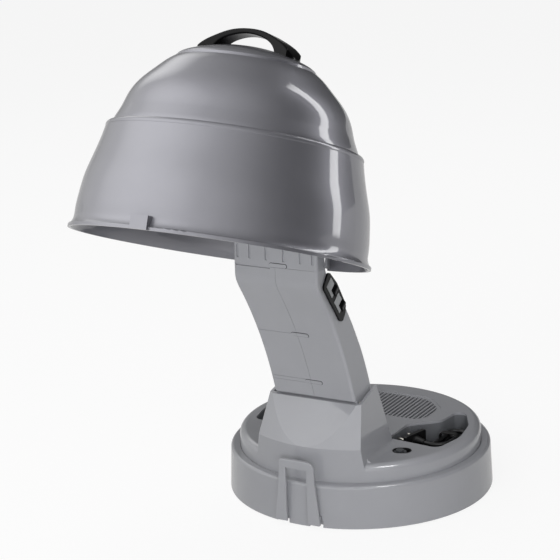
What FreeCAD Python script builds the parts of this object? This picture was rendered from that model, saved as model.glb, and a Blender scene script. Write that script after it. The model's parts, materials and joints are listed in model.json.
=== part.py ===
import FreeCAD, Part
import math
import os
from FreeCAD import Placement, Rotation, Vector

os.makedirs("parts", exist_ok=True)

# Sizes are in millimetres and degrees. X is right, Y is back and Z is up.
# The origin is the middle of the base, on the surface that the dryer stands on.

# Base drum
drum_r = 170.0
drum_draft = 2.4
drum_top_r = drum_r - drum_draft
drum_h = 56.5
drum_wall = 3.0
drum_edge_r = 4.0
floor_gap = 1.5
seam = 0.5

# Top cover
drum_shoulder = 11.8
cover_r = drum_top_r - drum_shoulder
cover_top = 79.0
cover_wall = 3.0
cover_edge_r = 9.0
cover_rim_drop = 6.0
cover_rim_w = 4.0
post_r = 4.6
post_inset = 8.8
post_ring_r = cover_r - post_inset
post_turns = (30, 90, 150, 208, 236, 304, 332)

# Tower on the front of the top cover, which carries the arm
tower_half_w = 74.0
tower_side_lean = 0.146
tower_back_y = -54.0
tower_back_lean = 0.24
tower_wall = 3.5
tower_bend_z = 99.0
tower_cone_lean = 0.41
facet_lean = 0.67
collar_front_z = 149.5
collar_lean = 0.24
tower_foot_r = 7.0

# Arm pivot in the tower and hood hinge in the hood's own frame
arm_pivot_z = 140.0
barrel_r = 13.5
barrel_gap = 1.2
arm_pin_r = 5.0
pin_clearance = 0.15
washer_w = 1.0
boss_r = 9.0
hood_hinge_inset = 34.0
hood_hinge_up = 30.0
hood_pin_r = 4.0

# Arm
arm_half_w = 56.0
arm_wall = 2.6
arm_edge_r = 3.5
arm_joint_z = 341.0
arm_front_y = -207.5
arm_head_depth = 21.5
arm_corner_y = -76.5
arm_corner_z = 163.0
arm_head_top = 379.5
arm_head_r = 8.0
vent_bottom = 348.5
vent_top = 373.0
vent_w = 3.0
vent_depth = 1.7
vent_places = (-50.0, -33.9, -11.7, 11.7, 33.9, 50.0)

# Hood, measured in its own frame: Z along its axis from the rim, front towards -Y
hood_tilt = 21.4
hinge_y = -192.73
hinge_z = 372.308
hood_rim_r = 170.0
hood_wall = 2.2
hood_step_z = 123.0
hood_step_r = 138.5
crown_r = 78.0
crown_z = 208.5
notch_half_w = 57.0
notch_h = 24.0
tab_half_w = 10.5
tab_h = 15.0
tab_proud = 8.5
handle_half_l = 62.0
handle_top = 248.0
handle_thick = 6.0
handle_half_w = 12.0
finger_half_l = 40.0

# Clasp on the front of the drum
clasp_thick = 3.0
clasp_gap = 2.0
clasp_half_top = 24.0
clasp_half_foot = 31.5
clasp_half_flare = 24.8
clasp_flare_z = 62.0
clasp_edge_r = 1.2
clasp_window_half = 14.5
clasp_top = 87.0
clasp_bar = 10.6
clasp_pin_z = 13.0
clasp_pin_inset = 3.5
clasp_pin_y = clasp_pin_inset - drum_r
clasp_pin_r = 1.5
clasp_foot = 5.5

# Slide that frees the arm
slide_x = 94.5
slide_y = -72.0
slide_turn = 24.0
slide_half_l = 11.0
slide_half_w = 8.5
slide_travel = 5.0

# Cord, its gland and its plug
cord_d = 6.0
hank_turns = 8
hank_gap = 0.75
hank_x = 114.5
hank_half_w = 12.0
hank_waist = 3.0
hank_front = 3.0
hank_back = 46.0
hank_floor_gap = 0.4
well_floor = 12.0
well_wall = 2.0
tail_turn = 105.0
plug_relief = 14.0
plug_flange = 5.0
plug_half_w = 19.0
plug_half_h = 9.5
plug_pin_r = 2.4
plug_pin_l = 17.0
plug_pin_pitch = 19.0


def box(x0, x1, y0, y1, z0, z1):
    return Part.makeBox(x1 - x0, y1 - y0, z1 - z0, Vector(x0, y0, z0))


def rod(start, end, radius):
    return Part.makeCylinder(radius, (end - start).Length, start, end - start)


def upright(x, y, z0, z1, radius):
    return Part.makeCylinder(radius, z1 - z0, Vector(x, y, z0))


def joined(shapes):
    return shapes[0].multiFuse(shapes[1:]).removeSplitter() if len(shapes) > 1 else shapes[0]


def group(shapes):
    return Part.makeCompound(shapes)


def mirrored(shape):
    return shape.mirror(Vector(0, 0, 0), Vector(1, 0, 0))


def turned(points):
    wire = Part.makePolygon([Vector(r, 0, z) for r, z in points + points[:1]])
    return Part.Face(wire).revolve(Vector(), Vector(0, 0, 1), 360)


def on_xy(z):
    return lambda u, w: Vector(u, w, z)


def on_yz(x):
    return lambda u, w: Vector(x, u, w)


def on_xz(y):
    return lambda u, w: Vector(u, y, w)


# A closed wire through corners (u, w, radius), each rounded by its own radius
def rounded(corners, place):
    ends = []
    edges = []
    count = len(corners)
    for i in range(count):
        u, w, radius = corners[i]
        here = Vector(u, w, 0)
        back = Vector(corners[i - 1][0], corners[i - 1][1], 0) - here
        ahead = Vector(corners[(i + 1) % count][0], corners[(i + 1) % count][1], 0) - here
        back.normalize()
        ahead.normalize()
        half = back.getAngle(ahead) / 2
        reach = radius / math.tan(half)
        first = here + back * reach
        last = here + ahead * reach
        if radius > 0:
            inward = back + ahead
            inward.normalize()
            middle = here + inward * (radius / math.sin(half) - radius)
            edges.append(Part.Arc(place(first.x, first.y), place(middle.x, middle.y),
                                  place(last.x, last.y)).toShape())
        ends.append((first, last))
    lines = []
    for i in range(count):
        start, end = ends[i][1], ends[(i + 1) % count][0]
        if (end - start).Length > 1e-6:
            lines.append(Part.LineSegment(place(start.x, start.y), place(end.x, end.y)).toShape())
    return Part.Wire(Part.__sortEdges__(edges + lines))


def slab(corners, z0, z1):
    return Part.Face(rounded(corners, on_xy(z0))).extrude(Vector(0, 0, z1 - z0))


def side_slab(corners, x0, x1):
    return Part.Face(rounded(corners, on_yz(x0))).extrude(Vector(x1 - x0, 0, 0))


def grown(wire, distance):
    return wire.makeOffset2D(distance, 0, False, False, False)


def filleted(shape, radius, wanted):
    edges = [e for e in shape.Edges if wanted(e)]
    return shape.makeFillet(radius, edges) if edges else shape


def at_height(edge, z, tolerance=0.05):
    return all(abs(vertex.Z - z) < tolerance for vertex in edge.Vertexes)


# Two arcs from a to b that leave and arrive along the given directions
def two_arcs(a, b, way_a, way_b):
    gap = b - a
    both = way_a + way_b
    spread = 2 * (1 - way_a.dot(way_b))
    along = gap.dot(both)
    if spread < 1e-9:
        middle = (a + b) / 2
    else:
        step = (math.sqrt(along ** 2 + spread * gap.dot(gap)) - along) / spread
        middle = (a + b + (way_a - way_b) * step) / 2
    first = bulged(a, middle, way_a)
    second = bulged(b, middle, -way_b)
    return [Part.Arc(a, first, middle).toShape(), Part.Arc(middle, second, b).toShape()]


# The middle of the arc that leaves start along a direction and ends at end
def bulged(start, end, way):
    chord = end - start
    unit = Vector(chord)
    unit.normalize()
    side = way - unit * way.dot(unit)
    side.normalize()
    return start + chord / 2 + side * (chord.Length / 2 * math.tan(way.getAngle(unit) / 2))


def spline(points):
    curve = Part.BSplineCurve()
    curve.interpolate([Vector(r, 0, z) for r, z in points])
    return curve.toShape()


# The same curve moved towards the axis by the wall, square to itself
def inset(points, distance):
    moved = []
    for i, (r, z) in enumerate(points):
        r0, z0 = points[max(i - 1, 0)]
        r1, z1 = points[min(i + 1, len(points) - 1)]
        length = math.hypot(r1 - r0, z1 - z0)
        moved.append((r - distance * (z1 - z0) / length, z + distance * (r1 - r0) / length))
    return moved


# A thin turned shell between an outer curve and the same curve set in by its wall
def turned_shell(points, wall):
    inner = inset(points, wall)
    outer_edge, inner_edge = spline(points), spline(inner)
    top = Part.LineSegment(Vector(points[-1][0], 0, points[-1][1]),
                           Vector(inner[-1][0], 0, inner[-1][1])).toShape()
    foot = Part.LineSegment(Vector(inner[0][0], 0, inner[0][1]),
                            Vector(points[0][0], 0, points[0][1])).toShape()
    wire = Part.Wire([outer_edge, top, inner_edge, foot])
    return Part.Face(wire).revolve(Vector(), Vector(0, 0, 1), 360)


hood_hinge_back = hood_rim_r - hood_hinge_inset
hood_turn = Rotation(Vector(1, 0, 0), -hood_tilt)
hinge_open = Vector(0, hinge_y, hinge_z)
hood_frame = Placement(hinge_open - hood_turn.multVec(Vector(0, hood_hinge_back, hood_hinge_up)), hood_turn)


def in_hood(shape):
    moved = shape.copy()
    moved.Placement = hood_frame.multiply(moved.Placement)
    return moved


# Hood hinge with the dryer open and folded, and the arm pivot halfway between them
hinge_shut = Vector(0, hood_hinge_back, drum_h + seam + hood_hinge_up)
hinge_mid = (hinge_open + hinge_shut) / 2
hinge_way = hinge_shut - hinge_open
arm_pivot_y = hinge_mid.y - (arm_pivot_z - hinge_mid.z) * hinge_way.z / hinge_way.y
arm_pivot = Vector(0, arm_pivot_y, arm_pivot_z)
turn_open = math.degrees(math.atan2(hinge_open.z - arm_pivot_z, hinge_open.y - arm_pivot_y))
turn_shut = math.degrees(math.atan2(hinge_shut.z - arm_pivot_z, hinge_shut.y - arm_pivot_y))
arm_fold = turn_open - turn_shut
print("arm pivot", round(arm_pivot_y, 3), arm_pivot_z, "fold", round(arm_fold, 3))
print("hood hinge", round(hinge_open.y, 3), round(hinge_open.z, 3), "relative turn",
      round(arm_fold + hood_tilt, 3))

nodes = {}


# Base drum: a ring with an inward shoulder that the hood's rim closes on
shoulder_r = cover_r + seam
drum = turned([
    (drum_r, floor_gap), (drum_top_r, drum_h), (shoulder_r, drum_h), (shoulder_r, drum_h - drum_wall),
    (drum_top_r - drum_wall, drum_h - drum_wall), (drum_r - drum_wall, floor_gap)])
drum = filleted(drum, drum_edge_r, lambda e: at_height(e,
                                                       drum_h) and abs(e.BoundBox.XMax - drum_top_r) < 0.5)

# Clasp: two legs and a top bar, standing proud of the drum and pinned near the floor
clasp_in = -(drum_r + clasp_gap)
clasp_out = clasp_in - clasp_thick
clasp_plate = Part.Face(rounded([
    (-clasp_half_foot, clasp_foot, 2), (clasp_half_foot, clasp_foot, 2),
    (clasp_half_flare, clasp_flare_z, 30), (clasp_half_top, clasp_top, 10),
    (-clasp_half_top, clasp_top, 5), (-clasp_half_flare, clasp_flare_z, 30)], on_xz(clasp_out)))
clasp_plate = clasp_plate.extrude(Vector(0, clasp_thick, 0))
clasp_front = [e for e in clasp_plate.Edges if abs(e.BoundBox.YMax - clasp_out) < 0.01]
clasp_plate = clasp_plate.makeFillet(clasp_edge_r, clasp_front)
print("clasp rounded", clasp_plate.isValid())
clasp_window = box(-clasp_window_half, clasp_window_half, clasp_out - 1, clasp_in + 1, 0,
                   clasp_top - clasp_bar)
clasp_lip = box(-clasp_half_top + 5, clasp_half_top - 10, clasp_in - 0.5, clasp_in + 1.5, clasp_top - 4,
                clasp_top)
leg_mid = (clasp_window_half + clasp_half_foot) / 2
leg_half = 7.0
clasp_ears = []
for side in (-1, 1):
    ear = box(-leg_half, leg_half, clasp_in - 0.5, clasp_pin_y, clasp_pin_z - 3.5, clasp_pin_z + 3.5)
    ear = ear.fuse(rod(Vector(-leg_half, clasp_pin_y, clasp_pin_z),
                       Vector(leg_half, clasp_pin_y, clasp_pin_z), 3.5))
    ear.translate(Vector(side * leg_mid, 0, 0))
    clasp_ears.append(ear)
clasp_bore = rod(Vector(-60, clasp_pin_y, clasp_pin_z), Vector(60, clasp_pin_y, clasp_pin_z),
                 clasp_pin_r + pin_clearance)
clasp = joined([clasp_plate.cut(clasp_window), clasp_lip] + clasp_ears).cut(clasp_bore)
nodes["front_clasp"] = clasp

pin_half = leg_mid + leg_half
nodes["clasp_pin"] = rod(Vector(-pin_half, clasp_pin_y, clasp_pin_z),
                         Vector(pin_half, clasp_pin_y, clasp_pin_z), clasp_pin_r)

# The drum's wall is open behind the clasp's legs, with a closed pocket behind it, and carries the pin in a block
slot_top = clasp_pin_z + 4
slot_back = clasp_pin_y + 8.5
slot_gap = 0.3
pocket_wall = 1.8
pocket_half = clasp_half_foot + slot_gap + pocket_wall
pocket = box(-pocket_half, pocket_half, 2 - drum_r, slot_back + pocket_wall, floor_gap, slot_top + pocket_wall)
pocket = pocket.common(turned([
    (0, floor_gap), (drum_r - 1, floor_gap), (drum_top_r - 1, drum_h - 2), (0, drum_h - 2)]))
drum = drum.fuse(pocket)
for side in (-1, 1):
    foot_x = sorted((side * (clasp_window_half - slot_gap), side * (clasp_half_foot + slot_gap)))
    ear_x = sorted((side * (leg_mid - leg_half - slot_gap), side * (leg_mid + leg_half + slot_gap)))
    drum = drum.cut(box(foot_x[0], foot_x[1], -drum_r - 2, slot_back, 0, clasp_pin_z - 2))
    drum = drum.cut(box(ear_x[0], ear_x[1], -drum_r - 2, slot_back, 0, slot_top))
block_half = clasp_window_half - slot_gap
block = box(-block_half, block_half, -drum_r, slot_back, floor_gap, slot_top)
block = block.common(turned([(0, 0), (drum_r - 1.5, 0), (drum_top_r - 1.5, drum_h - 2), (0, drum_h - 2)]))
pin_hole = rod(Vector(-pin_half, clasp_pin_y, clasp_pin_z), Vector(pin_half, clasp_pin_y, clasp_pin_z),
               clasp_pin_r)
nodes["base_drum"] = joined([drum, block]).cut(pin_hole)

# Bottom plate inside the drum, with holes for the feet and the screws
plate_z0 = 3.0
plate_z1 = 6.0
plate_r = drum_r - drum_wall - 0.6
foot_ring = 95.0
foot_r = 12.0
foot_stem_r = 3.0
plate = upright(0, 0, plate_z0, plate_z1, plate_r)
plate = plate.cut(box(-pocket_half - slot_gap, pocket_half + slot_gap, -drum_r,
                      slot_back + pocket_wall + slot_gap, 0, 10))
post_places = []
for post_turn in post_turns:
    turn = math.radians(post_turn)
    post_places.append((post_ring_r * math.cos(turn), post_ring_r * math.sin(turn)))
screw_r = 1.7
screw_head_r = 3.6
for x, y in post_places:
    plate = plate.cut(upright(x, y, 0, 10, screw_r + 0.1))
feet = []
foot_places = [(0, 0)] + [(sx * foot_ring, sy * foot_ring) for sx in (-1, 1) for sy in (-1, 1)]
for x, y in foot_places:
    plate = plate.cut(upright(x, y, 0, 10, foot_stem_r))
    feet.append(upright(x, y, 0, plate_z0, foot_r).fuse(upright(x, y, plate_z0, plate_z1, foot_stem_r)))
for i in range(-4, 5):
    plate = plate.cut(box(i * 8 - 2, i * 8 + 2, 40, 86, 0, 10))
nodes["bottom_plate"] = plate
nodes["rubber_feet"] = group(feet)
screws = []
for x, y in post_places:
    head = upright(x, y, plate_z0 - 1.4, plate_z0, screw_head_r)
    screws.append(head.fuse(upright(x, y, plate_z0, plate_z1 + 10, screw_r)))
nodes["base_screws"] = group(screws)

# Top cover shell
cover_in_r = cover_r - cover_wall
under_top = cover_top - cover_wall
rim_z1 = drum_h - drum_wall - 0.2
rim_z0 = rim_z1 - cover_wall
outer_shell = turned([(0, rim_z0), (cover_r, rim_z0), (cover_r, cover_top), (0, cover_top)])
outer_shell = filleted(outer_shell, cover_edge_r,
                       lambda e: at_height(e, cover_top) and e.BoundBox.XMax > cover_r - 0.5)
inner_shell = turned([(0, 0), (cover_in_r, 0), (cover_in_r, under_top), (0, under_top)])
inner_shell = filleted(inner_shell, cover_edge_r - cover_wall,
                       lambda e: at_height(e, under_top) and e.BoundBox.XMax > 10)
rim = turned([(cover_in_r, rim_z0), (cover_r + cover_rim_w, rim_z0), (cover_r + cover_rim_w, rim_z1),
              (cover_in_r, rim_z1)])


# The tower's outside, or the same set in by a wall; its back plane moves by its own amount
def tower_block(inward, back_shift, z0, z1):
    foot_w = tower_half_w - inward + (cover_top - z0) * tower_side_lean
    top_w = tower_half_w - inward - (z1 - cover_top) * tower_side_lean
    front = -200.0
    back0 = tower_back_y + (cover_top - z0) * tower_back_lean + back_shift
    back1 = tower_back_y - (z1 - cover_top) * tower_back_lean + back_shift
    foot = Part.makePolygon([Vector(-foot_w, front, z0), Vector(foot_w, front, z0),
                             Vector(foot_w, back0, z0),
                             Vector(-foot_w, back0, z0), Vector(-foot_w, front, z0)])
    top = Part.makePolygon([Vector(-top_w, front, z1), Vector(top_w, front, z1), Vector(top_w, back1, z1),
                            Vector(-top_w, back1, z1), Vector(-top_w, front, z1)])
    block = Part.makeLoft([foot, top], True, True)
    wall_r = cover_r - inward
    rise = z1 - tower_bend_z
    barrel = turned([(0, z0 - 1), (wall_r, z0 - 1), (wall_r, tower_bend_z),
                     (wall_r - rise * tower_cone_lean, z1), (wall_r - rise * tower_cone_lean, z1 + 1),
                     (0, z1 + 1)])
    block = block.common(barrel)
    facet_y = -cover_r + inward / math.cos(math.atan(facet_lean))
    facet = side_slab([(facet_y, tower_bend_z, 0),
                       (facet_y + (z1 - tower_bend_z + 60) * facet_lean, z1 + 60, 0),
                       (-260, z1 + 60, 0), (-260, tower_bend_z, 0)], -120, 120)
    return block.cut(facet)


tower_top_z = 176.0
collar_front_y = -cover_r + (collar_front_z - tower_bend_z) * facet_lean
collar_cut = side_slab([(collar_front_y - 40, collar_front_z - 40 * collar_lean, 0),
                        (collar_front_y + 140, collar_front_z + 140 * collar_lean, 0),
                        (collar_front_y + 140, 260, 0), (collar_front_y - 40, 260, 0)], -120, 120)
tower = tower_block(0, 0, cover_top - 12, tower_top_z).cut(collar_cut)
tower_room = tower_block(tower_wall, 30, cover_top - 14, tower_top_z)

# The cradle under the arm's barrel, as the space above it and the space below it
cradle_r = barrel_r + barrel_gap
cradle_end = -147.0


def around_pivot(radius, turn):
    return (arm_pivot_y + radius * math.cos(math.radians(turn)),
            arm_pivot_z + radius * math.sin(math.radians(turn)))


corner_reach = math.hypot(arm_corner_y - arm_pivot_y, arm_corner_z - arm_pivot_z) + 1.8


# YZ outline of the space above the cradle, lowered by a wall for the space below it
def cradle_room(drop, top):
    start = around_pivot(cradle_r + drop, 180)
    middle = around_pivot(cradle_r + drop, (180 + 360 + cradle_end) / 2)
    end = around_pivot(cradle_r + drop, cradle_end)
    low = around_pivot(corner_reach + drop, -87.5)
    shelf = (-76.0, 95.5 - drop)
    back = (tower_back_y + 40, 91.0 - drop)
    if top:
        rest = [(back[0], 300), (start[0] - 30, 300), (start[0] - 30, start[1])]
    else:
        rest = [(back[0], 0), (start[0] - 60, 0), (start[0] - 60, start[1])]
    x = -150
    points = [Vector(x, *p) for p in [end, low, shelf, back] + rest + [start]]
    arc = Part.Arc(Vector(x, *start), Vector(x, *middle), Vector(x, *end)).toShape()
    lines = [Part.LineSegment(points[i], points[i + 1]).toShape() for i in range(len(points) - 1)]
    return Part.Face(Part.Wire([arc] + lines)).extrude(Vector(300, 0, 0))


room_above = tower_room.common(cradle_room(0, True))
room_below = tower_block(tower_wall, -tower_wall, cover_top - 14,
                         tower_top_z).common(cradle_room(cover_wall, False))
pivot_axis = (Vector(-200, arm_pivot_y, arm_pivot_z), Vector(200, arm_pivot_y, arm_pivot_z))
barrel_room = rod(Vector(-59, arm_pivot_y, arm_pivot_z), Vector(59, arm_pivot_y, arm_pivot_z), cradle_r)

cover = outer_shell.fuse(tower)
strip_x = tower_half_w - 1
strip_out = strip_x + tower_foot_r
strip_at = on_xz(-160)
strip = Part.Wire([
    Part.LineSegment(strip_at(strip_x, cover_top - 1), strip_at(strip_out, cover_top - 1)).toShape(),
    Part.LineSegment(strip_at(strip_out, cover_top - 1), strip_at(strip_out, cover_top)).toShape(),
    Part.Arc(strip_at(strip_out, cover_top),
             strip_at(strip_x + tower_foot_r * 0.31, cover_top + tower_foot_r * 0.28),
             strip_at(strip_x, cover_top + tower_foot_r)).toShape(),
    Part.LineSegment(strip_at(strip_x, cover_top + tower_foot_r),
                     strip_at(strip_x, cover_top - 1)).toShape()])
strip = Part.Face(strip).extrude(Vector(0, 160 + tower_back_y - 1, 0))
strip = strip.common(turned([
    (0, cover_top - 2), (cover_r - 1, cover_top - 2), (cover_r - 9, cover_top + 0.2),
    (cover_r - 12, cover_top + 9), (0, cover_top + 9)]))
cover = cover.fuse(strip).fuse(mirrored(strip))
cover = joined([cover, rim])
cover = cover.cut(inner_shell).cut(room_above).cut(barrel_room)
cradle_block = tower_block(0.5, -0.5, cover_top - 4, tower_top_z).cut(collar_cut)
cradle_block = cradle_block.cut(cradle_room(0, True)).cut(cradle_room(cover_wall, False)).cut(barrel_room)
mouth = box(-44, 44, arm_pivot_y - 16, arm_pivot_y - 7, arm_pivot_z - 22, arm_pivot_z - 5)
cover = cover.cut(room_below).fuse(cradle_block.cut(mouth))
for side in (-1, 1):
    cover = cover.fuse(rod(Vector(side * (arm_half_w + washer_w), arm_pivot_y, arm_pivot_z),
                           Vector(side * (arm_half_w + washer_w + 7), arm_pivot_y, arm_pivot_z), boss_r))

# Wells for the cord at both sides, and the intake opening between them
well_corners = [(58.5, -38.5, 9), (131, -46, 12), (141, 0, 60), (133.5, 44, 40), (113, 83, 8.5),
                (98.5, 82, 8.5),
                (94.5, 46, 20), (60, 16, 14)]
well_wire = rounded(well_corners, on_xy(well_floor))
well_hole = Part.Face(well_wire).extrude(Vector(0, 0, 100))
grille_corners = [(-76, 33, 24), (76, 33, 24), (76, 88, 30), (46, 121, 40), (-46, 121, 40), (-76, 88, 30)]
grille_z1 = cover_top - 0.6
grille_thick = 2.4
grille_hole = slab(grille_corners, under_top - 5, cover_top + 5)
grille_ledge_wire = grown(rounded(grille_corners, on_xy(under_top - 3)), 3.0)
ledge = Part.Face(grille_ledge_wire).extrude(Vector(0, 0, 3.2))
ledge_hole = Part.Face(grown(rounded(grille_corners, on_xy(under_top - 4)), -2.5)).extrude(Vector(0, 0, 12))
cover = cover.cut(well_hole).cut(mirrored(well_hole)).cut(grille_hole)
cover = cover.fuse(ledge.cut(ledge_hole).cut(slab(grille_corners, grille_z1 - grille_thick, cover_top + 5)))

# Slide that frees the arm, in its oval recess beside the tower
slide_place = Placement(Vector(slide_x, slide_y, 0), Rotation(Vector(0, 0, 1), slide_turn))


def oval(half_l, half_w, z0, z1):
    shape = slab([(-half_l, -half_w, half_w - 0.01), (half_l, -half_w, half_w - 0.01),
                  (half_l, half_w, half_w - 0.01),
                  (-half_l, half_w, half_w - 0.01)], z0, z1)
    shape.Placement = slide_place
    return shape


cover = cover.cut(oval(slide_half_l + 1.0, slide_half_w + 0.8, under_top - 10, cover_top + 5))

posts = []
for x, y in post_places:
    post = upright(x, y, plate_z1, under_top + 1, post_r).cut(upright(x, y, 0, plate_z1 + 14, screw_r))
    posts.append(post)
cover = joined([cover] + posts)
pin_tip = tower_half_w - tower_wall - (arm_pivot_z - cover_top) * tower_side_lean + 2.2
arm_pin_hole = rod(Vector(-pin_tip, arm_pivot_y, arm_pivot_z), Vector(pin_tip, arm_pivot_y, arm_pivot_z),
                   arm_pin_r)
cover = cover.cut(arm_pin_hole)
nodes["top_cover"] = cover

# Well trays hang under the cover
tray_out = Part.Face(grown(well_wire, well_wall)).extrude(Vector(0, 0, under_top - well_floor))
tray_floor = Part.Face(grown(well_wire, well_wall)).extrude(Vector(0, 0, -2.5))
tray = tray_out.cut(well_hole).fuse(tray_floor).removeSplitter()
gland_x = hank_x - hank_half_w
gland_z = well_floor + hank_floor_gap + cord_d / 2
gland_r = cord_d / 2 + 1.2
gland_hole = rod(Vector(gland_x, -70, gland_z), Vector(gland_x, -30, gland_z), gland_r)
nodes["cord_well_right"] = tray.cut(gland_hole)
nodes["cord_well_left"] = mirrored(tray)

# Intake grille
ribs_wire = grown(rounded(grille_corners, on_xy(grille_z1 - grille_thick)), -0.3)
ribs = Part.Face(ribs_wire).extrude(Vector(0, 0, grille_thick))
slot_wire = grown(rounded(grille_corners, on_xy(grille_z1 - grille_thick - 1)), -5.0)
slot_room = Part.Face(slot_wire).extrude(Vector(0, 0, 6))
slot_pitch = 5.8
slot_w = 3.3
slots = [box(i * slot_pitch - slot_w / 2, i * slot_pitch + slot_w / 2, 20, 130, 60, 90) for i in range(-12,
                                                                                                       13)]
nodes["intake_grille"] = ribs.cut(group(slots).common(slot_room))

# Intake filter under the grille's ledge
nodes["intake_filter"] = slab(grille_corners, under_top - 5.6, under_top - 3)

# Blower: a round housing in two halves with its outlet to the front, a motor and an impeller
blower_y = 50.0
blower_r = 52.0
blower_z = (plate_z1, 36.0, 64.0)
blower_wall = 2.2
outlet_half = 34.0
duct_back = -14.0


def blower_half(z0, z1, outer):
    grow = 0 if outer else -blower_wall
    drum_part = upright(0, blower_y, z0, z1, blower_r + grow)
    front = duct_back if outer else duct_back - 1
    return drum_part.fuse(box(-outlet_half - grow, outlet_half + grow, front, blower_y, z0, z1))


lower = blower_half(blower_z[0], blower_z[1],
                    True).cut(blower_half(blower_z[0] + blower_wall, blower_z[1] + 1, False))
upper = blower_half(blower_z[1], blower_z[2],
                    True).cut(blower_half(blower_z[1] - 1, blower_z[2] - blower_wall, False))
inlet = upright(0, blower_y, 50, 80, 32)
nodes["blower_lower"] = lower
nodes["blower_upper"] = upper.cut(inlet)
motor_z0 = blower_z[0] + blower_wall
motor = joined([upright(0, blower_y, motor_z0, motor_z0 + 4, 27),
                upright(0, blower_y, motor_z0 + 4, motor_z0 + 24, 22),
                upright(0, blower_y, motor_z0 + 24, motor_z0 + 27, 9)])
shaft_r = 2.0
nodes["motor"] = motor.fuse(upright(0, blower_y, motor_z0 + 27, motor_z0 + 44, shaft_r))
impeller_z = motor_z0 + 27.6
impeller = [upright(0, blower_y, impeller_z, impeller_z + 2, 44),
            upright(0, blower_y, impeller_z + 2, impeller_z + 14, 8)]
blade_count = 16
for i in range(blade_count):
    blade = box(30, 43.5, -0.8, 0.8, impeller_z + 2, impeller_z + 20)
    blade.rotate(Vector(), Vector(0, 0, 1), 360 / blade_count * i)
    blade.translate(Vector(0, blower_y, 0))
    impeller.append(blade)
impeller.append(turned([(40, impeller_z + 18), (44, impeller_z + 18), (44, impeller_z + 20),
                        (40, impeller_z + 20)]))
impeller[-1].translate(Vector(0, blower_y, 0))
shaft_hole = upright(0, blower_y, impeller_z - 1, impeller_z + 30, shaft_r + 0.05)
nodes["impeller"] = joined(impeller).cut(shaft_hole)

# Air duct from the blower to the space under the arm's pivot
duct_front = -132.0
duct_top = 58.0
riser_back = -92.0
riser_top = 90.0


def duct_solid(grow, front, back):
    low = box(-outlet_half - grow, outlet_half + grow, front, back, plate_z1 - grow, duct_top + grow)
    rise = box(-outlet_half - grow, outlet_half + grow, front, riser_back + grow, plate_z1 - grow,
               riser_top - grow)
    return low.fuse(rise)


duct = duct_solid(0, duct_front, duct_back).cut(duct_solid(-blower_wall, duct_front + blower_wall,
                                                           duct_back + 1))
nodes["base_duct"] = duct

# Terminal block and a small circuit box on the plate
terminal = box(-104, -74, -94, -78, plate_z1, plate_z1 + 13)
for i in range(4):
    terminal = terminal.cut(upright(-99.5 + i * 7, -86, plate_z1 + 6, plate_z1 + 20, 1.8))
nodes["terminal_block"] = terminal
nodes["relay_box"] = box(48, 74, -96, -74, plate_z1, plate_z1 + 22)

# Slide that frees the arm: its lined recess, the slide with its bolt, and the spring
recess_floor = under_top - 8.0
lining = oval(slide_half_l + 1.0, slide_half_w + 0.8, recess_floor - 1.5, cover_top + 0.4)
lining = lining.cut(oval(slide_half_l, slide_half_w, recess_floor, cover_top + 5))
slide_body_l = slide_half_l - slide_travel / 2 - 0.4
slide_body_w = slide_half_w - 0.5
slide_shift = Vector(-slide_travel / 2, 0, 0)


def slide_oval(half_l, half_w, z0, z1):
    shape = slab([(-half_l, -half_w, min(half_l, half_w) - 0.05),
                  (half_l, -half_w, min(half_l, half_w) - 0.05),
                  (half_l, half_w, min(half_l, half_w) - 0.05),
                  (-half_l, half_w, min(half_l, half_w) - 0.05)], z0, z1)
    shape.translate(slide_shift)
    shape.Placement = slide_place.multiply(shape.Placement)
    return shape


def slide_box(x0, x1, half_w, z0, z1):
    shape = box(x0, x1, -half_w, half_w, z0, z1)
    shape.Placement = slide_place.multiply(shape.Placement)
    return shape


slide = slide_oval(slide_body_l, slide_body_w, recess_floor + 0.3, cover_top - 1.0)
slide = slide.fuse(slide_oval(slide_body_l - 3.2, slide_body_w - 3.6, cover_top - 2, cover_top + 1.6))
neck = slide_box(-slide_travel / 2 - 2, -slide_travel / 2 + 2, 2.0, recess_floor - 3.0, recess_floor + 1)
bolt = slide_box(-28, 9, 3.0, recess_floor - 6.0, recess_floor - 2.0)
nodes["release_slide"] = joined([slide, neck, bolt])
nodes["release_lining"] = lining.cut(slide_box(-slide_travel / 2 - 2.4, slide_travel / 2 + 2.4, 2.4,
                                               recess_floor - 3, recess_floor + 1))
guide = slide_box(-26, -14, 5.0, recess_floor - 8.0, under_top)
guide = guide.cut(slide_box(-30, -10, 3.25, recess_floor - 6.25, recess_floor - 1.75))
nodes["release_guide"] = guide

# Arm outline in the YZ plane
front_foot = (-121.0, 153.5)
front_low = (-150.5, 227.0)
front_high = (-198.0, 306.0)
front_top = (arm_front_y, 328.0)
rear_y = arm_front_y + arm_head_depth
rear_top = (rear_y, 346.0)
rear_high = (-163.0, 312.0)
rear_low = (-101.0, 220.0)
corner = (arm_corner_y, arm_corner_z)
corner_turn = math.degrees(math.atan2(arm_corner_z - arm_pivot_z, arm_corner_y - arm_pivot_y))
corner_dist = math.hypot(arm_corner_z - arm_pivot_z, arm_corner_y - arm_pivot_y)
tangent_turn = corner_turn - math.degrees(math.acos(barrel_r / corner_dist))
facet_turn = 180 - math.degrees(math.atan(facet_lean))
lip = (-113.6, 153.5)


def at_yz(point, x=0.0):
    return Vector(x, point[0], point[1])


def arc3(a, b, c):
    return Part.Arc(at_yz(a), at_yz(b), at_yz(c)).toShape()


def line2(a, b):
    return Part.LineSegment(at_yz(a), at_yz(b)).toShape()


def quarter(centre, radius, turn):
    return (centre[0] + radius * math.cos(math.radians(turn)),
            centre[1] + radius * math.sin(math.radians(turn)))


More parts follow.
